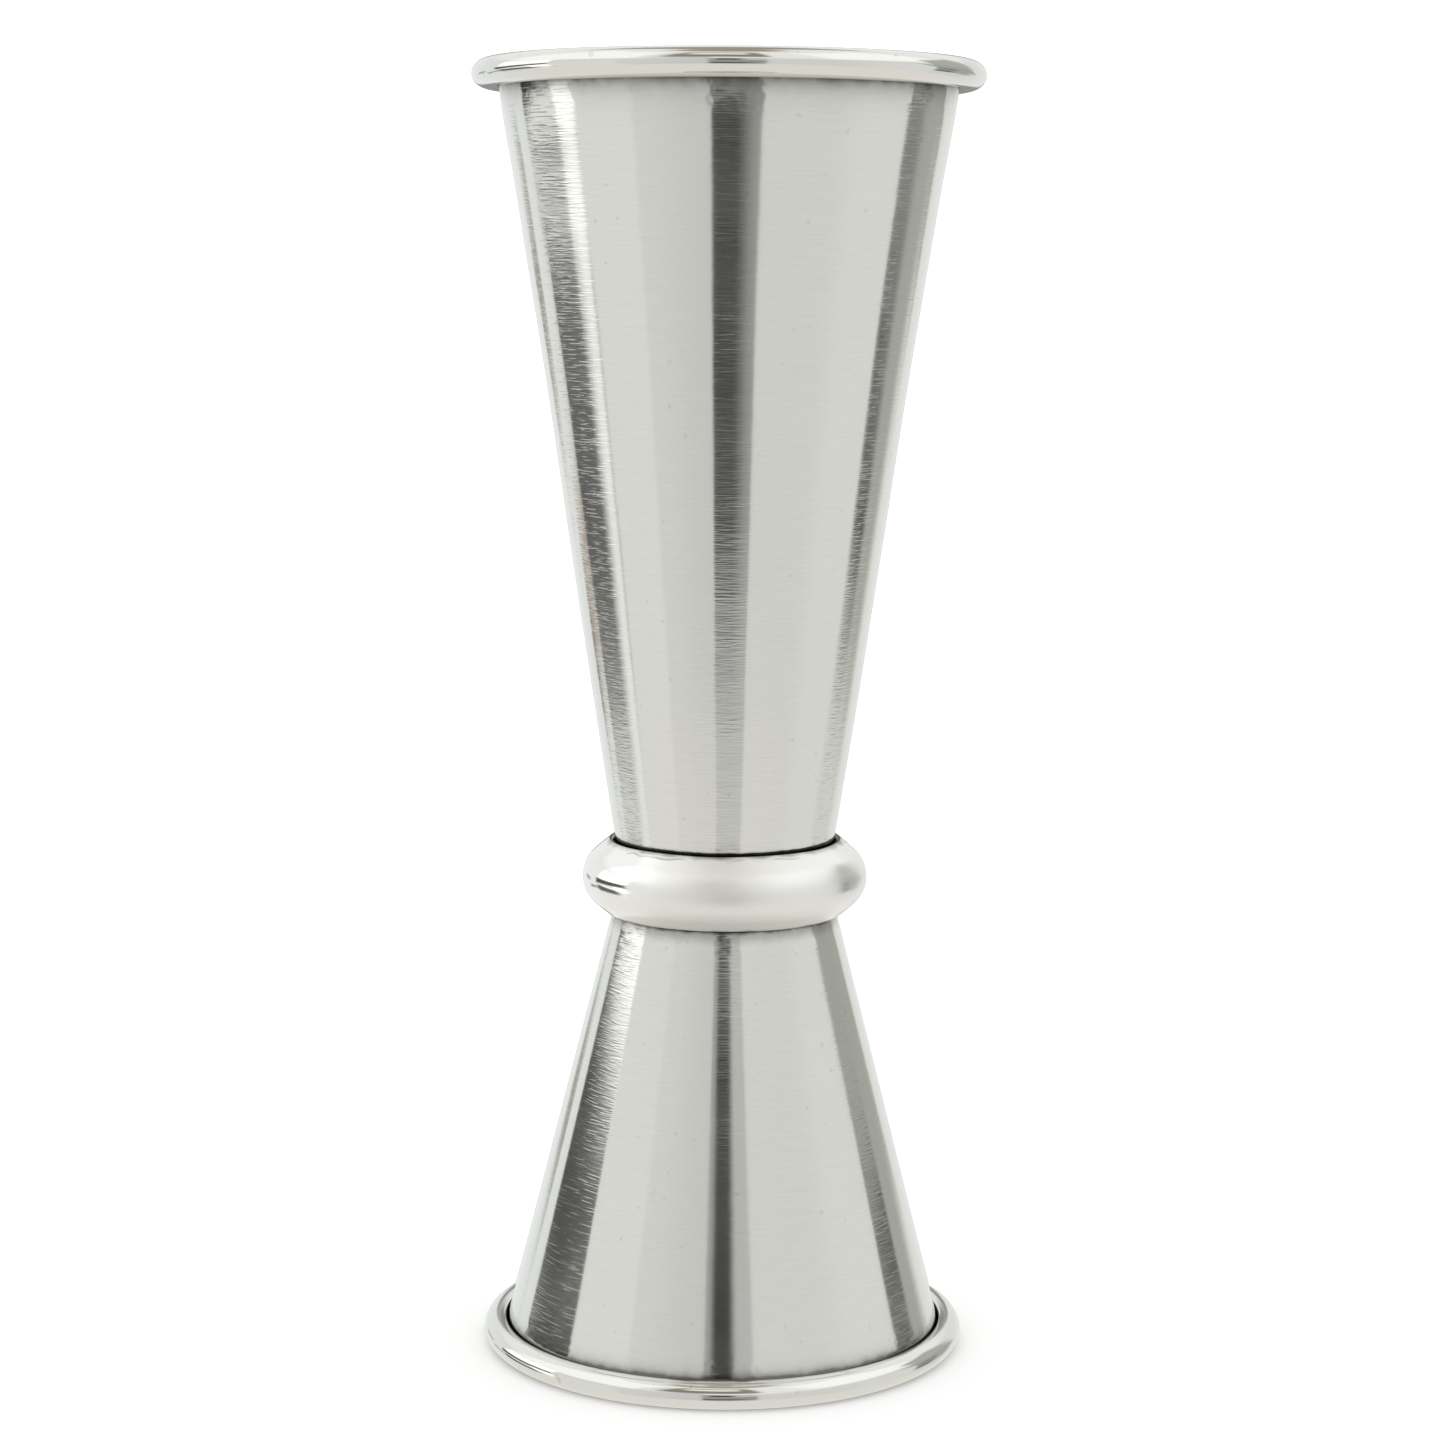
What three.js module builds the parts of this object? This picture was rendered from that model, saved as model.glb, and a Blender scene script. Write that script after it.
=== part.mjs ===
// A double-ended bar measure: two drawn sheet-steel cones joined foot to foot,
// a half-round collar over the joint, and a hollow curled bead round each mouth.
// Millimetres, +Z up. The origin is the centre of the small cup's rim, on which the measure stands.

import * as THREE from 'three';

// Driving dimensions.
const OVERALL_HEIGHT = 120;
const WAIST_HEIGHT = 44.75;      // level of the joint between the two cup floors
const SHEET = 0.7;               // wall of both cups
const FLOOR_GAP = 0.6;           // between the two floors, filled by the weld
const FOOT_CORNER_RADIUS = 1.8;  // outside corner between a cup's floor and its wall

const LARGE_CUP = {
  height: OVERALL_HEIGHT - WAIST_HEIGHT - FLOOR_GAP / 2,
  footRadius: 9.75,   // outside, where the wall's line meets the floor's face
  wallRadius: 21.05,  // outside, level with the middle of the bead
  beadWidth: 3.1,
  beadHeight: 2.64,
};

const SMALL_CUP = {
  height: WAIST_HEIGHT - FLOOR_GAP / 2,
  footRadius: 9.7,
  wallRadius: 20.7,
  beadWidth: 2.64,
  beadHeight: 2.54,
};

// Angles round a bead, from level and outwards.
const CURL_END = THREE.MathUtils.degToRad(-119);  // the curled edge stops short of the wall
const TOP_FACET = THREE.MathUtils.degToRad(12);   // each side of the top, so that the mouth rests level

const COLLAR = {
  sheet: 0.6,
  radius: 13.33,      // outside, at its widest
  crownRadius: 3.1,   // of the rounded middle of its section
  crownAngle: THREE.MathUtils.degToRad(50),  // each side of level, before the straight flanks
  upperFlank: 1.75,
  lowerFlank: 1.45,
};

const WELD = { radius: 2.5, bulge: 0.25 };

// Facets round the axis, along a foot corner, up and down a bead, and along the collar's crown.
const AROUND = 60;
const CORNER_STEPS = 3;
const INNER_BEAD_STEPS = 3;
const OUTER_BEAD_STEPS = 9;
const CROWN_STEPS = 6;

/** A point of a sheet's middle line, with the way that the line runs there. */
function station(r, z, alongR, alongZ) {
  const length = Math.hypot(alongR, alongZ);
  return { r, z, alongR: alongR / length, alongZ: alongZ / length };
}

/** The closed section of a sheet: its right face along the middle line, then its left face back. */
function sheetSection(middle, thickness) {
  const half = thickness / 2;
  const face = (side) => middle.map((s) => new THREE.Vector2(
    s.r + side * half * s.alongZ,
    s.z - side * half * s.alongR,
  ));
  return [...face(1), ...face(-1).reverse()];
}

/** Spins a section round the Z axis. */
function spin(section) {
  return new THREE.LatheGeometry(section, AROUND).rotateX(Math.PI / 2);
}

/** Evenly spaced values, both ends included. */
function spaced(from, to, steps) {
  return Array.from({ length: steps + 1 }, (_, i) => from + (to - from) * (i / steps));
}

/** A point of a bead's middle line, seen from the middle of the bead: an ellipse run clockwise. */
function beadStation(cup, angle) {
  const a = (cup.beadWidth - SHEET) / 2;
  const b = (cup.beadHeight - SHEET) / 2;
  return station(a * Math.cos(angle), b * Math.sin(angle), a * Math.sin(angle), -b * Math.cos(angle));
}

/** How far the bead's level top facet lies above the middle of the bead. */
function beadRise(cup) {
  const edge = beadStation(cup, Math.PI / 2 - TOP_FACET);
  return edge.z + SHEET / 2 * edge.alongR;
}

/** The middle line of one cup: from the axis, along the floor, up the wall and round the mouth's bead. */
function cupMiddleLine(cup) {
  const beadLevel = cup.height - beadRise(cup);
  const flare = Math.atan2(cup.wallRadius - cup.footRadius, beadLevel);
  const wallMiddle = (z) => cup.footRadius + z * Math.tan(flare) - SHEET / 2 / Math.cos(flare);

  const cornerRadius = FOOT_CORNER_RADIUS - SHEET / 2;
  const cornerLevel = SHEET / 2 + cornerRadius;
  const cornerEnd = cornerLevel - cornerRadius * Math.sin(flare);
  const cornerCentre = wallMiddle(cornerEnd) - cornerRadius * Math.cos(flare);
  const corner = spaced(-Math.PI / 2, -flare, CORNER_STEPS).map((angle) => station(
    cornerCentre + cornerRadius * Math.cos(angle),
    cornerLevel + cornerRadius * Math.sin(angle),
    -Math.sin(angle),
    Math.cos(angle),
  ));

  // The ellipse starts where it runs the same way as the wall, so the bead leaves without a kink.
  const slope = (cup.beadHeight - SHEET) / (cup.beadWidth - SHEET) * Math.tan(flare);
  const start = Math.PI - Math.atan(slope);
  const leaving = beadStation(cup, start);
  const beadCentre = wallMiddle(beadLevel + leaving.z) - leaving.r;
  const angles = [
    ...spaced(start, Math.PI / 2 + TOP_FACET, INNER_BEAD_STEPS),
    ...spaced(Math.PI / 2 - TOP_FACET, CURL_END, OUTER_BEAD_STEPS),
  ];
  const bead = angles.map((angle) => {
    const s = beadStation(cup, angle);
    return { ...s, r: s.r + beadCentre, z: s.z + beadLevel };
  });

  return [station(0, SHEET / 2, 1, 0), ...corner, ...bead];
}

function cupGeometry(cup) {
  return spin(sheetSection(cupMiddleLine(cup), SHEET));
}

/** A band that is open towards the axis: a rounded crown and two flanks that run in to the lips. */
function collarGeometry() {
  const crown = COLLAR.crownRadius - COLLAR.sheet / 2;
  const centre = COLLAR.radius - COLLAR.crownRadius;
  const edge = COLLAR.crownAngle;
  const flankEnd = (side, length) => station(
    centre + crown * Math.cos(edge) - length * Math.sin(edge),
    side * (crown * Math.sin(edge) + length * Math.cos(edge)),
    -side * Math.sin(edge),
    Math.cos(edge),
  );
  const line = [flankEnd(-1, COLLAR.lowerFlank)];
  for (const angle of spaced(-edge, edge, CROWN_STEPS)) {
    line.push(station(
      centre + crown * Math.cos(angle),
      crown * Math.sin(angle),
      -Math.sin(angle),
      Math.cos(angle),
    ));
  }
  line.push(flankEnd(1, COLLAR.upperFlank));
  const section = sheetSection(line, COLLAR.sheet);
  section.push(section[0].clone());
  return spin(section);
}

/** The fused disc between the floors, a little wider at its middle. */
function weldGeometry() {
  const half = FLOOR_GAP / 2;
  return spin([
    new THREE.Vector2(0, -half),
    new THREE.Vector2(WELD.radius, -half),
    new THREE.Vector2(WELD.radius + WELD.bulge, 0),
    new THREE.Vector2(WELD.radius, half),
    new THREE.Vector2(0, half),
  ]);
}

function addPiece(group, name, geometry, level, color, roughness) {
  const material = new THREE.MeshStandardMaterial({ color, roughness, metalness: 1 });
  const mesh = new THREE.Mesh(geometry, material);
  mesh.name = name;
  mesh.position.z = level;
  group.add(mesh);
  return mesh;
}

const jigger = new THREE.Group();
const halfGap = FLOOR_GAP / 2;
addPiece(jigger, 'large_cup', cupGeometry(LARGE_CUP), WAIST_HEIGHT + halfGap, 0xc6c7c5, 0.28);
const smallCup = addPiece(jigger, 'small_cup', cupGeometry(SMALL_CUP), WAIST_HEIGHT - halfGap, 0xc2c3c1, 0.28);
smallCup.rotation.x = Math.PI;
addPiece(jigger, 'collar_ring', collarGeometry(), WAIST_HEIGHT, 0xd0cecb, 0.18);
addPiece(jigger, 'weld_nugget', weldGeometry(), WAIST_HEIGHT, 0x9a9894, 0.55);

export default jigger;
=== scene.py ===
"""A double-ended bar measure in stainless steel, standing on its small cup.

Two drawn cups are joined foot to foot. Their walls are brushed round the axis, and each mouth is
curled into a polished hollow bead. A polished half-round collar closes the waist.
"""

import math

import bpy
from mathutils import Matrix


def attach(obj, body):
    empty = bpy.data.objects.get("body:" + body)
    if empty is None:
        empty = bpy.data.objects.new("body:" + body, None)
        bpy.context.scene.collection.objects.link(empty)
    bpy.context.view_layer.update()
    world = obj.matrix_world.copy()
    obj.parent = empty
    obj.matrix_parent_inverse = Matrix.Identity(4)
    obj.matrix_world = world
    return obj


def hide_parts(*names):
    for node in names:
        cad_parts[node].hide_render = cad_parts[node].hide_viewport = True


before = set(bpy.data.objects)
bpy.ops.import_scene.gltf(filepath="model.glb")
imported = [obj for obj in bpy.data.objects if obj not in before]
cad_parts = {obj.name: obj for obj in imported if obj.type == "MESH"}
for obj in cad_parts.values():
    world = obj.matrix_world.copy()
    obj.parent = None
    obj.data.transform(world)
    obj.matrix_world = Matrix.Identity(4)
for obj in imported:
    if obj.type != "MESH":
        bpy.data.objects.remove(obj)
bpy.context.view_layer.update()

# Sizes as in the CAD model, in millimetres.
MM = 0.001
WAIST_LEVEL = 44.75
FLOOR_GAP = 0.6
SHEET = 0.7
FOOT_CORNER_RADIUS = 1.8
CURL_END = math.radians(-119)
LARGE_CUP = {
    "height": 120 - WAIST_LEVEL - FLOOR_GAP / 2,
    "foot_radius": 9.75,
    "wall_radius": 21.05,
    "bead_width": 3.1,
    "bead_height": 2.64,
}
SMALL_CUP = {
    "height": WAIST_LEVEL - FLOOR_GAP / 2,
    "foot_radius": 9.7,
    "wall_radius": 20.7,
    "bead_width": 2.64,
    "bead_height": 2.54,
}
TOP_FACET = math.radians(12)
COLLAR_SHEET = 0.6
COLLAR_RADIUS = 13.33
COLLAR_CROWN_RADIUS = 3.1
COLLAR_CROWN_ANGLE = math.radians(50)
COLLAR_UPPER_FLANK = 1.75
COLLAR_LOWER_FLANK = 1.45

# The gentle bow of the large cup's wall: how far out, in millimetres, and where and how widely, as
# shares of the way up the wall. It is a little hollow above its middle, and full at foot and bead.
LARGE_CUP_BOWS = ((0.14, 0.95, 0.06), (-0.1, 0.62, 0.14), (0.06, 0.2, 0.12))

# Unevenness of hand-led spinning, in metres: how far it goes, and how wide its patches are. Each point
# of a section takes its own share of it, and the collar's thin lips take more.
CUP_UNEVENNESS = 0.00008
CUP_PATCH = 0.022
COLLAR_UNEVENNESS = 0.0001
COLLAR_PATCH = 0.009
BEAD_SHARE = 0.5
UPPER_LIP_EXTRA = 1.5
LOWER_LIP_EXTRA = 0.5
LIP_WIDTH = 0.9

# How finely the pieces are cut up.
AROUND = 360
FLOOR_STEPS = 12
CORNER_STEPS = 14
WALL_STEPS = 44
BEAD_STEPS = 60
CROWN_STEPS = 44
FLANK_STEPS = 6
EDGE_STEPS = 8
BOW_STEP = 0.01        # share of the wall over which its slope is taken
MERGE_DISTANCE = 1e-6  # points closer than this, in metres, become one

# What each point of a section says of the metal there: whether it is on a curl or the collar, its share
# of the unevenness, whether it is on an outer face, and whether it is hidden away in a curl or crevice,
# where the finishes paint it dark as shade.
MARKS = ("curled", "wander", "outside", "hidden")


# ---------------------------------------------------------------- sheet sections


class Station:
    """A point of a sheet's middle line, which way the line runs there, and how the metal is there."""

    def __init__(self, r, z, along_r, along_z, curled=0.0, wander=0.0):
        length = math.hypot(along_r, along_z)
        self.r = r
        self.z = z
        self.along_r = along_r / length
        self.along_z = along_z / length
        self.curled = curled
        self.wander = wander

    def beside(self, side, distance):
        """The point that far to the right (side 1) or to the left (side -1) of the line."""
        return self.r + side * distance * self.along_z, self.z - side * distance * self.along_r

    def marks(self, outside=0.0, hidden=0.0):
        """The marks here. Hidden faces are cut edges, and the insides of a curl or of the collar, painted
        dark as shade.
        """
        return {"curled": self.curled, "wander": self.wander, "outside": outside, "hidden": hidden}


def spaced(low, high, steps):
    """Evenly spaced values, both ends included."""
    return [low + (high - low) * i / steps for i in range(steps + 1)]


def bell(value, centre, width):
    """1 at the centre and falling away to both sides."""
    return math.exp(-(((value - centre) / width) ** 2))


def rounded_edge(end, half, forward, flatness=0.7):
    """The cut edge of the sheet at the last (forward 1) or first (forward -1) point of its line."""
    points = []
    for turn in spaced(-math.pi / 2, math.pi / 2, EDGE_STEPS)[1:-1]:
        ahead = forward * half * flatness * math.cos(turn)
        across = -forward * half * math.sin(turn)
        r = end.r + ahead * end.along_r + across * end.along_z
        z = end.z + ahead * end.along_z - across * end.along_r
        points.append((r, z, end.marks(hidden=1.0)))
    return points


def cup_section(line):
    """A cup's sheet: its outer face, the cut edge in its curl, and its inner face back to the axis."""
    half = SHEET / 2
    section = [(*s.beside(1, half), s.marks(outside=1.0, hidden=s.curled)) for s in line]
    section += rounded_edge(line[-1], half, 1)
    section += [(*s.beside(-1, half), s.marks()) for s in reversed(line)]
    return section


def collar_section(line):
    """The collar's sheet: its outer face, one lip, its inner face back and the other lip."""
    half = COLLAR_SHEET / 2
    section = [(*s.beside(1, half), s.marks(outside=1.0)) for s in line]
    section += rounded_edge(line[-1], half, 1)
    section += [(*s.beside(-1, half), s.marks(hidden=1.0)) for s in reversed(line)]
    section += rounded_edge(line[0], half, -1)
    section.append(section[0])
    return section


def bead_station(cup, angle):
    """A point of the bead's middle line, seen from the bead's own centre."""
    a = (cup["bead_width"] - SHEET) / 2
    b = (cup["bead_height"] - SHEET) / 2
    return Station(
        a * math.cos(angle),
        b * math.sin(angle),
        a * math.sin(angle),
        -b * math.cos(angle),
        curled=1.0,
        wander=BEAD_SHARE,
    )


def bead_rise(cup):
    """How far the level crest of the bead lies above its centre."""
    crest = bead_station(cup, math.pi / 2 - TOP_FACET)
    return crest.z + SHEET / 2 * crest.along_r


def cup_line(cup, bow):
    """The middle line of a cup: along its floor, up its wall, which bow(share) bends, and round its bead."""
    bead_level = cup["height"] - bead_rise(cup)
    flare = math.atan2(cup["wall_radius"] - cup["foot_radius"], bead_level)
    inset = SHEET / 2 / math.cos(flare)

    def wall(z):
        return cup["foot_radius"] + z * math.tan(flare) - inset

    corner_radius = FOOT_CORNER_RADIUS - SHEET / 2
    corner_level = SHEET / 2 + corner_radius
    corner_end = corner_level - corner_radius * math.sin(flare)
    corner_centre = wall(corner_end) - corner_radius * math.cos(flare)

    line = [Station(r, SHEET / 2, 1, 0) for r in spaced(0, corner_centre, FLOOR_STEPS)[:-1]]
    for angle in spaced(-math.pi / 2, -flare, CORNER_STEPS):
        r = corner_centre + corner_radius * math.cos(angle)
        z = corner_level + corner_radius * math.sin(angle)
        line.append(Station(r, z, -math.sin(angle), math.cos(angle)))

    # The bead's ellipse starts where it runs the same way as the wall, so that there is no kink.
    leaving = math.atan((cup["bead_height"] - SHEET) / (cup["bead_width"] - SHEET) * math.tan(flare))
    start = bead_station(cup, math.pi - leaving)
    wall_end = bead_level + start.z
    wall_rise = wall_end - corner_end
    bead_centre = wall(wall_end) - start.r
    for share in spaced(0, 1, WALL_STEPS)[1:-1]:
        z = corner_end + share * wall_rise
        bend = (bow(share + BOW_STEP) - bow(share - BOW_STEP)) / (2 * BOW_STEP * wall_rise)
        line.append(Station(wall(z) + bow(share), z, math.tan(flare) + bend, 1, wander=1.0))
    for angle in spaced(math.pi - leaving, CURL_END, BEAD_STEPS):
        s = bead_station(cup, angle)
        s.r += bead_centre
        s.z += bead_level
        line.append(s)
    return line


def large_bow(share):
    """How far out the large cup's wall is bowed, that share of the way up."""
    return sum(far * bell(share, place, width) for far, place, width in LARGE_CUP_BOWS)


def straight(_share):
    """The small cup's wall isn't bowed."""
    return 0.0


def collar_line():
    """The middle line of the collar: lower flank, rounded crown, upper flank."""
    crown = COLLAR_CROWN_RADIUS - COLLAR_SHEET / 2
    centre = COLLAR_RADIUS - COLLAR_CROWN_RADIUS
    edge = COLLAR_CROWN_ANGLE

    def flank(side, distance, length, extra):
        return Station(
            centre + crown * math.cos(edge) - distance * math.sin(edge),
            side * (crown * math.sin(edge) + distance * math.cos(edge)),
            -side * math.sin(edge),
            math.cos(edge),
            curled=1.0,
            wander=1.0 + extra * bell(distance, length, LIP_WIDTH),
        )

    lower = spaced(COLLAR_LOWER_FLANK, 0, FLANK_STEPS)[:-1]
    upper = spaced(0, COLLAR_UPPER_FLANK, FLANK_STEPS)[1:]
    line = [flank(-1, distance, COLLAR_LOWER_FLANK, LOWER_LIP_EXTRA) for distance in lower]
    for angle in spaced(-edge, edge, CROWN_STEPS):
        r = centre + crown * math.cos(angle)
        z = crown * math.sin(angle)
        line.append(Station(r, z, -math.sin(angle), math.cos(angle), curled=1.0, wander=1.0))
    line += [flank(1, distance, COLLAR_UPPER_FLANK, UPPER_LIP_EXTRA) for distance in upper]
    return line


# ---------------------------------------------------------------- node helpers


def plug(tree, value, socket):
    """Joins the socket to another one, or sets its value."""
    if isinstance(value, bpy.types.NodeSocket):
        tree.links.new(value, socket)
    else:
        socket.default_value = value


def add(tree, kind, inputs=None, output=0, **settings):
    """Adds a node with its settings and inputs, and returns one of its outputs."""
    made = tree.nodes.new(kind)
    for name, value in settings.items():
        setattr(made, name, value)
    for name, value in (inputs or {}).items():
        plug(tree, value, made.inputs[name])
    return made.outputs[output]


def calc(tree, operation, *values):
    """The result of a Math node."""
    made = tree.nodes.new("ShaderNodeMath")
    made.operation = operation
    for socket, value in zip(made.inputs, values):
        plug(tree, value, socket)
    return made.outputs[0]


def ramp(tree, value, low, high, to_low=0.0, to_high=1.0):
    """A smooth step from one value to another."""
    inputs = {0: value, 1: low, 2: high, 3: to_low, 4: to_high}
    return add(tree, "ShaderNodeMapRange", inputs, interpolation_type="SMOOTHSTEP")


def blend_colour(tree, share, first, second):
    """The first colour, with that share of the second laid over it."""
    inputs = {0: share, 6: first, 7: second}
    return add(tree, "ShaderNodeMix", inputs, output=2, data_type="RGBA")


def noise(tree, vector, scale, detail=2.0, roughness=0.5):
    """A noise value from 0 to 1."""
    inputs = {"Vector": vector, "Scale": scale, "Detail": detail, "Roughness": roughness}
    return add(tree, "ShaderNodeTexNoise", inputs, noise_dimensions="3D")


def vector_of(tree, x, y, z):
    """The vector with those three parts."""
    return add(tree, "ShaderNodeCombineXYZ", {0: x, 1: y, 2: z})


def parts_of(tree, vector):
    """The three parts of a vector."""
    made = tree.nodes.new("ShaderNodeSeparateXYZ")
    plug(tree, vector, made.inputs[0])
    return made.outputs


# ---------------------------------------------------------------- spinning a section


def section_mesh(name, section):
    """The section as a line of points in the XZ plane, carrying its marks as attributes."""
    mesh = bpy.data.meshes.new(name)
    mesh.from_pydata([(r * MM, 0, z * MM) for r, z, _ in section], [], [])
    for mark in MARKS:
        layer = mesh.attributes.new(mark, "FLOAT", "POINT")
        layer.data.foreach_set("value", [marks[mark] for _, _, marks in section])
    return mesh


def stored(tree, mark):
    """The value of a mark at each point."""
    return add(tree, "GeometryNodeInputNamedAttribute", {"Name": mark}, data_type="FLOAT")


def spun_section(tree, source, count):
    """A grid of the section's count points by the segments, rolled round the Z axis, with its marks."""
    segments = source["Segments"]
    grid = add(tree, "GeometryNodeMeshGrid", {
        "Size X": 1.0,
        "Size Y": 1.0,
        "Vertices X": calc(tree, "ADD", segments, 1.0),
        "Vertices Y": count,
    })
    index = add(tree, "GeometryNodeInputIndex")
    turn = calc(tree, "FLOOR", calc(tree, "DIVIDE", calc(tree, "ADD", index, 0.5), float(count)))
    step = calc(tree, "SUBTRACT", index, calc(tree, "MULTIPLY", turn, float(count)))
    share = calc(tree, "DIVIDE", calc(tree, "MODULO", turn, segments), segments)
    angle = calc(tree, "MULTIPLY", share, math.tau)

    def sampled(value, data_type):
        inputs = {"Geometry": source["Section"], "Value": value, "Index": step}
        return add(tree, "GeometryNodeSampleIndex", inputs, data_type=data_type, domain="POINT")

    position = add(tree, "GeometryNodeInputPosition")
    r, _, z = parts_of(tree, sampled(position, "FLOAT_VECTOR"))
    x = calc(tree, "MULTIPLY", r, calc(tree, "COSINE", angle))
    y = calc(tree, "MULTIPLY", r, calc(tree, "SINE", angle))
    shape = grid
    for mark in MARKS:
        inputs = {"Geometry": shape, "Name": mark, "Value": sampled(stored(tree, mark), "FLOAT")}
        shape = add(tree, "GeometryNodeStoreNamedAttribute", inputs, data_type="FLOAT", domain="POINT")
    inputs = {"Geometry": shape, "Position": vector_of(tree, x, y, z)}
    shape = add(tree, "GeometryNodeSetPosition", inputs)
    return add(tree, "GeometryNodeMergeByDistance", {"Geometry": shape, "Distance": MERGE_DISTANCE})


def made_uneven(tree, source, shape):
    """Pushes the surface in and out by patches, as far as each point wanders."""
    here = add(tree, "GeometryNodeInputPosition")
    normal = add(tree, "GeometryNodeInputNormal")
    patches = noise(tree, here, calc(tree, "DIVIDE", 1.0, source["Patch Size"]), detail=1.0)
    reach = calc(tree, "MULTIPLY", stored(tree, "wander"), source["Unevenness"])
    lift = calc(tree, "MULTIPLY", calc(tree, "SUBTRACT", patches, 0.5), reach)
    push = add(tree, "ShaderNodeVectorMath", {0: normal, 3: lift}, operation="SCALE")
    return add(tree, "GeometryNodeSetPosition", {"Geometry": shape, "Offset": push})


def spin_tree(count):
    """Spins a section of count points round the Z axis, with the unevenness of hand-led metal spinning."""
    tree = bpy.data.node_groups.new("spin a sheet section", "GeometryNodeTree")
    face = tree.interface
    face.new_socket("Section", in_out="INPUT", socket_type="NodeSocketGeometry")
    face.new_socket("Segments", in_out="INPUT", socket_type="NodeSocketInt")
    face.new_socket("Unevenness", in_out="INPUT", socket_type="NodeSocketFloat")
    face.new_socket("Patch Size", in_out="INPUT", socket_type="NodeSocketFloat")
    face.new_socket("Wall", in_out="INPUT", socket_type="NodeSocketMaterial")
    face.new_socket("Curl", in_out="INPUT", socket_type="NodeSocketMaterial")
    face.new_socket("Piece", in_out="OUTPUT", socket_type="NodeSocketGeometry")
    source = tree.nodes.new("NodeGroupInput").outputs

    shape = made_uneven(tree, source, spun_section(tree, source, count))
    shape = add(tree, "GeometryNodeSetShadeSmooth", {"Geometry": shape})
    shape = add(tree, "GeometryNodeRealizeInstances", {"Geometry": shape})
    shape = add(tree, "GeometryNodeSetMaterial", {"Geometry": shape, "Material": source["Wall"]})
    on_curl = add(
        tree,
        "FunctionNodeCompare",
        {0: stored(tree, "curled"), 1: 0.5},
        data_type="FLOAT",
        operation="GREATER_THAN",
    )
    inputs = {"Geometry": shape, "Selection": on_curl, "Material": source["Curl"]}
    shape = add(tree, "GeometryNodeSetMaterial", inputs)
    plug(tree, shape, tree.nodes.new("NodeGroupOutput").inputs[0])
    return tree


def spin(name, section, unevenness, patch_size, wall, curl):
    """A finished piece: the section spun round the axis, as a plain mesh."""
    host = bpy.data.objects.new(name + "_section", section_mesh(name + "_section", section))
    bpy.context.collection.objects.link(host)
    modifier = host.modifiers.new("spin", "NODES")
    modifier.node_group = spin_tree(len(section))
    values = {
        "Segments": AROUND,
        "Unevenness": unevenness,
        "Patch Size": patch_size,
        "Wall": wall,
        "Curl": curl,
    }
    for item in modifier.node_group.interface.items_tree:
        if item.in_out == "INPUT" and item.name in values:
            modifier[item.identifier] = values[item.name]
    host.update_tag()
    depsgraph = bpy.context.evaluated_depsgraph_get()
    mesh = bpy.data.meshes.new_from_object(host.evaluated_get(depsgraph))
    bpy.data.objects.remove(host)
    piece = bpy.data.objects.new(name, mesh)
    mesh.name = name
    bpy.context.collection.objects.link(piece)
    return piece


def turned_over(section):
    """The small cup's section: mouth down, and run the other way so that its faces still point out."""
    return [(r, -z, marks) for r, z, marks in reversed(section)]


def moved_up(section, level):
    """The section with its own zero at that level."""
    return [(r, z + level, marks) for r, z, marks in section]


# ---------------------------------------------------------------- steel finishes


# Colours of the steel, each from its darker to its lighter parts, and of what dulls it, painted shade among
# them.
SATIN = ((0.73, 0.73, 0.70, 1), (0.78, 0.78, 0.75, 1))
BRIGHT = ((0.735, 0.735, 0.71, 1), (0.775, 0.775, 0.75, 1))
POLISHED = ((0.86, 0.855, 0.835, 1), (0.90, 0.895, 0.88, 1))
AS_WELDED = ((0.42, 0.41, 0.39, 1), (0.55, 0.53, 0.49, 1))
PIT = (0.42, 0.39, 0.34, 1)
NICK = (0.4, 0.38, 0.34, 1)
CURL_SHADE = (0.055, 0.05, 0.042, 1)
# Near black: grime, and the painted shade of the curls' insides and of the crevices at the collar.
GRIME_AND_SHADE = (0.03, 0.027, 0.022, 1)
# Dark brown for the collar: grime and painted shade at its lips, and painted shade on its inner face.
LIP_GRIME_AND_SHADE = (0.06, 0.055, 0.045, 1)

# Places up the measure, in millimetres: the level, and how far it reaches above and below.
UNGROUND = ((117.5, 4.5), (2.4, 2.5), (48.2, 1.5), (41.0, 3.5))
# Grime with painted crevice shade: dark lines on the walls along the collar's lips.
WALL_GRIME_AND_SHADE = ((48.1, 0.75), (41.4, 0.45))
# Grime with painted shade along the collar's own lips.
COLLAR_GRIME_AND_SHADE = ((48.5, 0.6), (41.1, 0.45))
COLLAR_SCAR = (47.92, 0.13)
# Painted shade on the small cup's wall under the collar.
SHADE_UNDER_COLLAR = (41.3, 1.5)

# Levels of the curled edges, in millimetres, from which painted shade spreads over the walls.
LARGE_CURL_LEVEL = 117.45
SMALL_CURL_LEVEL = 2.45

# The relief of each finish, in metres.
BRUSHED_RELIEF = 0.0000075
BEAD_RELIEF = 0.000008
COLLAR_RELIEF = 0.000006
WELD_RELIEF = 0.00005


def new_material(name):
    """A bare metal, its node tree and its shader."""
    material = bpy.data.materials.new(name)
    material.use_nodes = True
    tree = material.node_tree
    tree.nodes.clear()
    shader = tree.nodes.new("ShaderNodeBsdfPrincipled")
    out = tree.nodes.new("ShaderNodeOutputMaterial")
    tree.links.new(shader.outputs[0], out.inputs["Surface"])
    shader.inputs["Metallic"].default_value = 1.0
    return material, tree, shader


def object_place(tree):
    """Where a point lies on the measure, in metres."""
    return add(tree, "ShaderNodeTexCoord", output=3)


def round_the_axis(tree):
    """Coordinates on a spun surface: the unit direction from the axis, the height and the radius."""
    x, y, z = parts_of(tree, object_place(tree))
    squares = calc(tree, "ADD", calc(tree, "MULTIPLY", x, x), calc(tree, "MULTIPLY", y, y))
    radius = calc(tree, "MAXIMUM", calc(tree, "SQRT", squares), 1e-5)
    return calc(tree, "DIVIDE", x, radius), calc(tree, "DIVIDE", y, radius), z, radius


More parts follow.
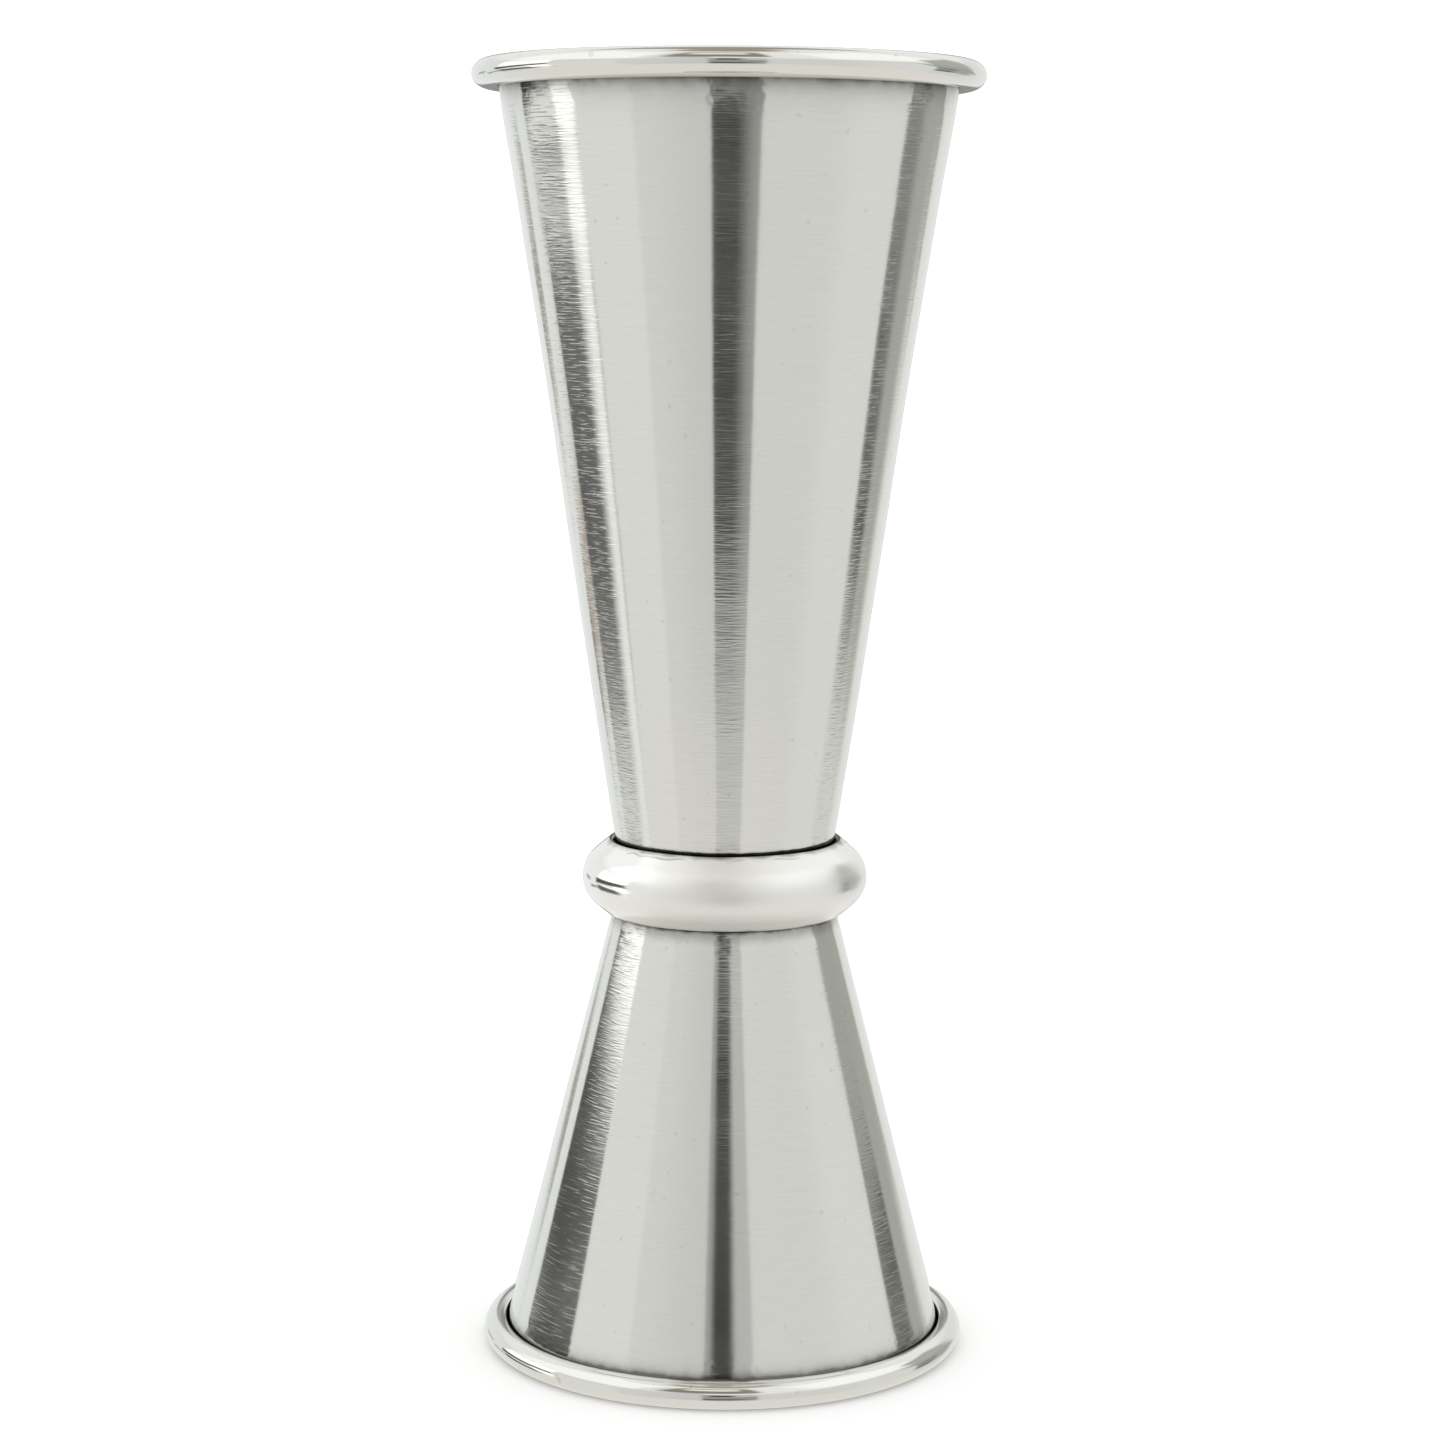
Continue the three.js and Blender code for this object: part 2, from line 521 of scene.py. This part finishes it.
def hairlines(tree, turning, length, thickness, detail=1.0):
    """Noise drawn out round the axis, in lines of that angle (in radians) and thickness (in metres)."""
    across_x, across_y, z, radius = turning
    floor_spacing = 0.35  # the floors lie level, so their lines are told apart by the radius
    rise = calc(tree, "ADD", z, calc(tree, "MULTIPLY", radius, floor_spacing))
    drawn = vector_of(
        tree,
        calc(tree, "MULTIPLY", across_x, 1 / length),
        calc(tree, "MULTIPLY", across_y, 1 / length),
        calc(tree, "MULTIPLY", rise, 1 / thickness),
    )
    return noise(tree, drawn, scale=1.0, detail=detail)


def shifted(tree, value, pattern, spread):
    """The value, moved up and down by a pattern over that spread."""
    return calc(tree, "ADD", value, calc(tree, "MULTIPLY", calc(tree, "SUBTRACT", pattern, 0.5), spread))


def near(tree, height, place):
    """1 at the place's level, falling to 0 at its reach above and below."""
    level, reach = place
    away = calc(tree, "ABSOLUTE", calc(tree, "SUBTRACT", height, level * MM))
    return ramp(tree, away, 0.0, reach * MM, to_low=1.0, to_high=0.0)


def near_any(tree, height, places):
    """1 at the level of any of the places."""
    return strongest(tree, *[near(tree, height, place) for place in places])


def curl_shade(tree, distance, reach, most):
    """Painted shade at that distance from a curl's edge, dying away over that reach in millimetres."""
    beyond = calc(tree, "MAXIMUM", distance, 0.0)
    fading = calc(tree, "EXPONENT", calc(tree, "MULTIPLY", beyond, -1 / (reach * MM)))
    return calc(tree, "MULTIPLY", fading, most)


def marked(tree, mark):
    """The value of a mark that the section carries."""
    return add(tree, "ShaderNodeAttribute", output=2, attribute_name=mark)


def strongest(tree, *values):
    """The largest of several values."""
    most = values[0]
    for value in values[1:]:
        most = calc(tree, "MAXIMUM", most, value)
    return most


def set_relief(tree, shader, relief, distance, strength=1.0):
    """Gives the surface that relief, of that height in metres."""
    inputs = {"Strength": strength, "Distance": distance, "Height": relief}
    plug(tree, add(tree, "ShaderNodeBump", inputs), shader.inputs["Normal"])


def wall_shade(tree, height):
    """Painted shade on the walls: next to the two curls and under the collar."""
    from_large_curl = calc(tree, "SUBTRACT", LARGE_CURL_LEVEL * MM, height)
    from_small_curl = calc(tree, "SUBTRACT", height, SMALL_CURL_LEVEL * MM)
    return strongest(
        tree,
        curl_shade(tree, from_large_curl, reach=0.85, most=0.88),
        curl_shade(tree, from_small_curl, reach=0.38, most=0.82),
        calc(tree, "MULTIPLY", near(tree, height, SHADE_UNDER_COLLAR), 0.5),
    )


def wall_colour(tree, height, peel, fine):
    """Brushed steel with a few tiny pits, with painted shade at the curls and under the collar, and grime
    with painted crevice shade at the collar's lips.
    """
    outside = marked(tree, "outside")
    ragged = shifted(tree, height, peel, 0.0004)
    pits = ramp(tree, noise(tree, object_place(tree), scale=1500.0, detail=0.0), 0.81, 0.85, to_high=0.2)
    # Painted shade on the outer faces, next to the curls and under the collar.
    shade = calc(tree, "MULTIPLY", wall_shade(tree, ragged), outside)
    # Grime with painted crevice shade: a dark line on the walls along each of the collar's lips.
    grime_and_shade = calc(tree, "MULTIPLY", near_any(tree, ragged, WALL_GRIME_AND_SHADE), outside)
    steel = blend_colour(tree, fine, *SATIN)
    pitted = blend_colour(tree, pits, steel, PIT)
    shaded = blend_colour(tree, shade, pitted, CURL_SHADE)
    return blend_colour(tree, calc(tree, "MULTIPLY", grime_and_shade, 0.95), shaded, GRIME_AND_SHADE)


def wall_relief(tree, turning, peel, fine):
    """Grinding lines round the axis, deeper at the sides, and the drawn sheet's ripple where none reach."""
    height = turning[2]
    sideways = calc(tree, "ABSOLUTE", turning[0])
    on_large = ramp(tree, height, (WAIST_LEVEL - 1) * MM, (WAIST_LEVEL + 1) * MM)
    at_sides = ramp(tree, on_large, 0.0, 1.0, to_low=0.5, to_high=1.0)
    depth = ramp(tree, sideways, 0.4, 0.8, to_low=0.85, to_high=at_sides)

    coarse = hairlines(tree, turning, length=0.2, thickness=0.0006)
    broad = hairlines(tree, turning, length=0.5, thickness=0.003)
    patches = ramp(tree, broad, 0.35, 0.65, to_low=0.5, to_high=1.0)
    lines = calc(tree, "ADD", fine, calc(tree, "MULTIPLY", coarse, 0.7))
    drawn = calc(tree, "MULTIPLY", lines, patches)
    sharp = hairlines(tree, turning, length=0.14, thickness=0.00013, detail=0.0)
    scratches = ramp(tree, sharp, 0.56, 0.74)
    scratched = ramp(tree, sideways, 0.5, 0.75, to_high=0.4)
    ground = calc(tree, "ADD", drawn, calc(tree, "MULTIPLY", scratches, scratched))

    unground = near_any(tree, height, UNGROUND)
    ripple = calc(tree, "MULTIPLY", calc(tree, "MULTIPLY", peel, unground), 4.0)
    return calc(tree, "ADD", calc(tree, "MULTIPLY", ground, depth), ripple)


def brushed_wall():
    """Satin stainless, ground round the axis. The wheel doesn't reach under the curls and the collar."""
    material, tree, shader = new_material("brushed_wall")
    turning = round_the_axis(tree)
    here = object_place(tree)
    peel = noise(tree, here, scale=850.0, detail=1.0)
    fine = hairlines(tree, turning, length=0.14, thickness=0.00017)
    plug(tree, wall_colour(tree, turning[2], peel, fine), shader.inputs["Base Color"])

    cloud = noise(tree, here, scale=90.0, detail=2.0)
    plug(tree, ramp(tree, cloud, 0.3, 0.7, to_low=0.10, to_high=0.12), shader.inputs["Roughness"])
    shader.inputs["Anisotropic"].default_value = 0.6
    shader.inputs["Anisotropic Rotation"].default_value = 0.25
    radial = add(tree, "ShaderNodeTangent", direction_type="RADIAL", axis="Z")
    plug(tree, radial, shader.inputs["Tangent"])
    set_relief(tree, shader, wall_relief(tree, turning, peel, fine), BRUSHED_RELIEF)
    return material


def polished_bead():
    """The curled mouth: polished bright, with slight waves and a few tiny nicks, and painted dark as shade
    inside its curl and on its cut edge.
    """
    material, tree, shader = new_material("polished_bead")
    here = object_place(tree)
    waves = noise(tree, here, scale=260.0, detail=1.0)
    nicks = ramp(tree, noise(tree, here, scale=900.0, detail=0.0), 0.78, 0.83)
    smears = noise(tree, here, scale=120.0, detail=2.0)
    steel = blend_colour(tree, smears, *BRIGHT)
    nicked = blend_colour(tree, calc(tree, "MULTIPLY", nicks, 0.3), steel, NICK)
    # Painted shade: the inside of the curl and its cut edge are painted near black.
    dark = calc(tree, "MULTIPLY", marked(tree, "hidden"), 0.97)
    plug(tree, blend_colour(tree, dark, nicked, GRIME_AND_SHADE), shader.inputs["Base Color"])
    roughness = ramp(tree, smears, 0.3, 0.75, to_low=0.07, to_high=0.13)
    plug(tree, roughness, shader.inputs["Roughness"])
    relief = calc(tree, "SUBTRACT", waves, calc(tree, "MULTIPLY", nicks, 0.5))
    set_relief(tree, shader, relief, BEAD_RELIEF)
    return material


def collar_dullness(tree, turning):
    """The collar's roughness: worn dull across its front, a little dull at the right, bright elsewhere."""
    bright = 0.10
    facing = calc(tree, "MULTIPLY", turning[1], -1.0)
    front = ramp(tree, facing, 0.38, 0.8, to_low=bright, to_high=0.48)
    past_left = ramp(tree, turning[0], -0.76, -0.4, to_low=bright, to_high=0.48)
    right = ramp(tree, turning[0], 0.7, 0.95, to_low=bright, to_high=0.28)
    return calc(tree, "MAXIMUM", calc(tree, "MINIMUM", front, past_left), right)


def polished_collar():
    """The collar: uneven hand polish, with grime and painted shade at its lips, painted shade on its inner
    face, and a faint scar under the upper one.
    """
    material, tree, shader = new_material("polished_collar")
    turning = round_the_axis(tree)
    here = object_place(tree)
    patches = noise(tree, here, scale=180.0, detail=2.0)
    burr = noise(tree, here, scale=520.0, detail=1.0)
    ragged = shifted(tree, turning[2], burr, 0.0006)
    # Grime with painted shade along both lips.
    at_lips = calc(tree, "MULTIPLY", near_any(tree, ragged, COLLAR_GRIME_AND_SHADE), 0.85)
    scarred = ramp(tree, patches, 0.48, 0.58, to_high=0.5)
    scar = calc(tree, "MULTIPLY", near(tree, ragged, COLLAR_SCAR), scarred)
    # The hidden inner face and lip edges get painted shade. The lips get grime and painted shade, and the
    # scar gets its own dark mark.
    grime_and_shade = strongest(tree, at_lips, scar, marked(tree, "hidden"))
    steel = blend_colour(tree, patches, *POLISHED)
    plug(tree, blend_colour(tree, grime_and_shade, steel, LIP_GRIME_AND_SHADE), shader.inputs["Base Color"])
    dullness = shifted(tree, collar_dullness(tree, turning), patches, 0.06)
    plug(tree, dullness, shader.inputs["Roughness"])
    relief = calc(tree, "ADD", calc(tree, "MULTIPLY", patches, 1.2), calc(tree, "MULTIPLY", burr, 0.15))
    set_relief(tree, shader, relief, COLLAR_RELIEF)
    return material


def welded_metal():
    """The fused metal between the floors, dull and finely grained."""
    material, tree, shader = new_material("welded_metal")
    here = object_place(tree)
    grain = noise(tree, here, scale=2500.0, detail=3.0)
    stain = noise(tree, here, scale=500.0, detail=2.0)
    plug(tree, blend_colour(tree, ramp(tree, stain, 0.3, 0.7), *AS_WELDED), shader.inputs["Base Color"])
    roughness = ramp(tree, grain, 0.2, 0.8, to_low=0.45, to_high=0.65)
    plug(tree, roughness, shader.inputs["Roughness"])
    set_relief(tree, shader, grain, WELD_RELIEF, strength=0.5)
    return material


# ---------------------------------------------------------------- studio


# What the steel reflects, by direction from the measure. Azimuth 0 is the side of the camera and grows
# towards +X, and elevation grows upwards; both are in degrees. Each panel lies over the ones before it.
ALL_ROUND = (-400, 400)
EVERYWHERE = (0.805, 0.805, 0.785)
WARM_GREY = 0.985  # a plain grey panel's blue, as a share of its red and green
CEILING_BROWN = (0.42, 0.37, 0.31)
BACKDROP_WHITE = (1.25, 1.25, 1.25, 1)

# The floor: the radius of each of its rings, in metres, and its sides.
FLOOR_RINGS = (0.02, 0.05, 0.12, 0.4, 1.2)
FLOOR_SIDES = 64
FLOOR_WHITE = (0.93, 0.93, 0.93, 1)

# The camera: its place in metres, its lens in millimetres and its turns in radians.
EYE = (0, -0.3151, 0.10158)
LENS = 84.7
SENSOR = 36
SWING = 0.0009
LOOKS_DOWN = 0.1338
ROLL = 0.0054


def panel(colour, across, up, soft_across=(1, 1), soft_up=(2, 2), tilt=0.0, lean=0.0):
    """A soft-edged panel. tilt is how far it climbs for each degree across, and lean the other way round."""
    if not isinstance(colour, tuple):
        colour = (colour, colour, colour * WARM_GREY)
    return {
        "colour": colour,
        "across": across,
        "up": up,
        "soft_across": soft_across,
        "soft_up": soft_up,
        "tilt": tilt,
        "lean": lean,
    }


def studio_panels():
    """The studio, from the broad walls to the small gaps between them."""
    return [
        # broad walls, the ceiling with its two softboxes, and the table
        panel(1.02, ALL_ROUND, (22, 200), soft_up=(14, 1)),
        panel((0.885, 0.885, 0.86), (-127, -50), (-90, 14), (8, 1.5), (12, 10)),
        panel(0.725, (-30, -9), (-90, 60), (36, 1), (12, 10)),
        panel(0.86, (64, 104), (-90, 14), (26, 2), (12, 10)),
        panel((0.90, 0.93, 0.92), (-400, -127), (-90, 20), (1, 3), (12, 10)),
        panel(0.88, (136, 400), (-90, 20), (8, 1), (12, 10)),
        panel((0.90, 0.88, 0.83), ALL_ROUND, (-200, -27), soft_up=(1, 8)),
        panel(CEILING_BROWN, ALL_ROUND, (77, 200), soft_up=(8, 1)),
        panel(CEILING_BROWN, (-400, -150), (50, 200), (16, 10), (8, 1)),
        panel(CEILING_BROWN, (150, 400), (50, 200), (10, 16), (8, 1)),
        panel((0.30, 0.275, 0.23), (-33, 20), (31, 68), (8, 4), (8, 4)),
        panel((1.2, 1.15, 0.95), (-24, 11), (52, 62), (8, 3), (3, 5)),
        panel(1.22, (-124, -44), (24, 66), (4, 4), (10, 4)),
        panel(1.22, (46, 120), (24, 64), (10, 6), (10, 4)),
        panel((0.50, 0.52, 0.48), (104, 137), (-6, 33), (1.5, 10), (3, 4)),
        # a dark gap straight behind
        panel(0.30, (171, 400), (-27, 19), (4, 1), (8, 5)),
        panel(0.30, (-400, -171), (-27, 19), (1, 4), (8, 5)),
        # the gap that the camera looks through, as the large cup sees it
        panel(0.64, (-9, 16.5), (-29, 4), (0.8, 0.8), (7, 4)),
        panel(0.35, (-9, 16.5), (-23, 4), (0.8, 1.2), (3, 4)),
        panel(0.04, (-9, 9), (-22.3, -14.6), (0.8, 12), (2.5, 5)),
        # and as the small cup sees it
        panel(0.58, (-9.5, 16), (6, 19), (1, 1), (3, 3)),
        panel(0.40, (-9.5, 0), (6, 19), (1, 4), (3, 3)),
        panel(0.04, (-5.8, 5.6), (6, 18), (4, 5), (3, 4)),
        # left of the camera, low: a dark doorway with a lamp over it and a warm edge
        panel((0.43, 0.36, 0.31), (-139, -122), (-13.8, -10.8), (2, 2), (1.5, 1.5)),
        panel(0.15, (-139.5, -135.5), (-13.8, -11.8), (1.5, 1.5), (1, 1)),
        panel(0.13, (-124.5, -86), (-18.0, -9.9), (1.2, 5), (3.5, 1), tilt=-0.12),
        panel(1.08, (-124.5, -86), (-9.9, -5.5), (1.2, 5), (1, 3), tilt=-0.12),
        panel(1.0, (-96, -86.5), (-24, -4), (11, 1), (4, 4)),
        panel(1.7, (-100, -86.5), (-11.2, -2), (1.2, 1), (1, 3), lean=-0.6),
        # left of the camera, level: the same doorway from lower down
        panel((0.40, 0.36, 0.33), (-150, -139), (-7, -4), (3, 2), (2, 2)),
        panel(0.08, (-127, -87.5), (-3.4, 4.2), (1.2, 1), (3, 1), tilt=0.12),
        panel(1.5, (-124, -87.5), (4.5, 22), (6, 1), (0.8, 2), tilt=0.12),
        # right of the camera, low: a grey-green gap with a dark foot
        panel((0.46, 0.47, 0.43), (104, 137), (-15, -4), (1.5, 14), (3, 3), tilt=0.03),
        panel(0.26, (103.5, 118), (-13, -7), (1, 8), (2, 4), tilt=0.05),
        panel(0.07, (106, 119), (-14.6, -11.8), (2, 8), (2, 1.5), tilt=0.03),
        # right of the camera, level
        panel((0.45, 0.46, 0.42), (103, 134), (-1.5, 10), (0.8, 4), (1.5, 2), tilt=-0.22, lean=-0.9),
        panel(0.05, (104, 121), (-2.7, -0.1), (0.8, 4), (1, 1), tilt=-0.16),
    ]


def studio_world():
    """Lights everything from a studio of pale panels with dark gaps. The backdrop itself is plain white."""
    world = bpy.data.worlds.new("studio")
    bpy.context.scene.world = world
    world.use_nodes = True
    tree = world.node_tree
    tree.nodes.clear()
    x, y, z = parts_of(tree, add(tree, "ShaderNodeTexCoord", output=0))
    azimuth = calc(tree, "DEGREES", calc(tree, "ARCTAN2", x, calc(tree, "MULTIPLY", y, -1.0)))
    elevation = calc(tree, "DEGREES", calc(tree, "ARCSINE", z))

    def slanted(value, along, middle, slant):
        """The value, less what the panel's edge has climbed at that distance from its middle."""
        if not slant:
            return value
        shift = calc(tree, "MULTIPLY", calc(tree, "SUBTRACT", along, middle), slant)
        return calc(tree, "SUBTRACT", value, shift)

    def inside(value, limits, soft):
        """1 between the limits, with edges of those widths."""
        low, high = limits
        soft_low, soft_high = soft
        rising = ramp(tree, value, low - soft_low / 2, low + soft_low / 2)
        falling = ramp(tree, value, high - soft_high / 2, high + soft_high / 2, to_low=1.0, to_high=0.0)
        return calc(tree, "MULTIPLY", rising, falling)

    colour = (*EVERYWHERE, 1)
    for piece in studio_panels():
        up = slanted(elevation, azimuth, sum(piece["across"]) / 2, piece["tilt"])
        share = inside(up, piece["up"], piece["soft_up"])
        if piece["across"] != ALL_ROUND:
            across = slanted(azimuth, elevation, sum(piece["up"]) / 2, piece["lean"])
            share = calc(tree, "MULTIPLY", share, inside(across, piece["across"], piece["soft_across"]))
        colour = blend_colour(tree, share, colour, (*piece["colour"], 1))

    path = tree.nodes.new("ShaderNodeLightPath")
    seen = blend_colour(tree, path.outputs["Is Glossy Ray"], BACKDROP_WHITE, colour)
    backdrop = add(tree, "ShaderNodeBackground", {"Color": seen, "Strength": 1.0})
    out = tree.nodes.new("ShaderNodeOutputWorld")
    plug(tree, backdrop, out.inputs["Surface"])
    world.cycles.sampling_method = "MANUAL"
    world.cycles.sample_map_resolution = 512


def pale_floor():
    """A wide white floor, left out of the steel's reflections, which see the studio instead."""
    points = [(0, 0, 0)]
    for radius in FLOOR_RINGS:
        for turn in range(FLOOR_SIDES):
            angle = math.tau * turn / FLOOR_SIDES
            points.append((radius * math.cos(angle), radius * math.sin(angle), 0))

    def corner(ring, turn):
        return 1 + ring * FLOOR_SIDES + turn % FLOOR_SIDES

    faces = [(0, corner(0, turn), corner(0, turn + 1)) for turn in range(FLOOR_SIDES)]
    for ring in range(len(FLOOR_RINGS) - 1):
        for turn in range(FLOOR_SIDES):
            faces.append((
                corner(ring, turn),
                corner(ring + 1, turn),
                corner(ring + 1, turn + 1),
                corner(ring, turn + 1),
            ))
    mesh = bpy.data.meshes.new("floor")
    mesh.from_pydata(points, [], faces)
    floor = bpy.data.objects.new("floor", mesh)
    bpy.context.collection.objects.link(floor)
    material = bpy.data.materials.new("floor_white")
    material.use_nodes = True
    shader = material.node_tree.nodes["Principled BSDF"]
    shader.inputs["Base Color"].default_value = FLOOR_WHITE
    shader.inputs["Roughness"].default_value = 1.0
    shader.inputs["Specular IOR Level"].default_value = 0.0
    mesh.materials.append(material)
    floor.visible_glossy = False


def camera():
    """Level with the upper part of the large cup, looking slightly down on the measure."""
    data = bpy.data.cameras.new("camera")
    data.sensor_width = SENSOR
    data.lens = LENS
    data.clip_start = 0.01
    eye = bpy.data.objects.new("camera", data)
    bpy.context.collection.objects.link(eye)
    eye.matrix_world = (
        Matrix.Translation(EYE)
        @ Matrix.Rotation(SWING, 4, "Z")
        @ Matrix.Rotation(math.pi / 2 - LOOKS_DOWN, 4, "X")
        @ Matrix.Rotation(ROLL, 4, "Z")
    )
    bpy.context.scene.camera = eye


# ---------------------------------------------------------------- the measure


def build():
    """The two cups and the collar as fine spun sheet, and the weld as it stands."""
    wall = brushed_wall()
    bead = polished_bead()

    line = cup_line(LARGE_CUP, large_bow)
    section = moved_up(cup_section(line), WAIST_LEVEL + FLOOR_GAP / 2)
    large = spin("large_cup_body", section, CUP_UNEVENNESS, CUP_PATCH, wall, bead)
    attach(large, "root")
    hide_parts("large_cup")

    line = cup_line(SMALL_CUP, straight)
    section = moved_up(turned_over(cup_section(line)), WAIST_LEVEL - FLOOR_GAP / 2)
    small = spin("small_cup_body", section, CUP_UNEVENNESS, CUP_PATCH, wall, bead)
    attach(small, "root")
    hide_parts("small_cup")

    polish = polished_collar()
    section = moved_up(collar_section(collar_line()), WAIST_LEVEL)
    collar = spin("collar_band", section, COLLAR_UNEVENNESS, COLLAR_PATCH, polish, polish)
    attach(collar, "root")
    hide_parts("collar_ring")

    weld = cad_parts["weld_nugget"]
    metal = welded_metal()
    for place in weld.material_slots:
        place.material = metal


bpy.context.scene.view_settings.view_transform = "Standard"
# Light goes to and fro many times inside a cup.
bpy.context.scene.cycles.glossy_bounces = 12
camera()
studio_world()
pale_floor()
build()
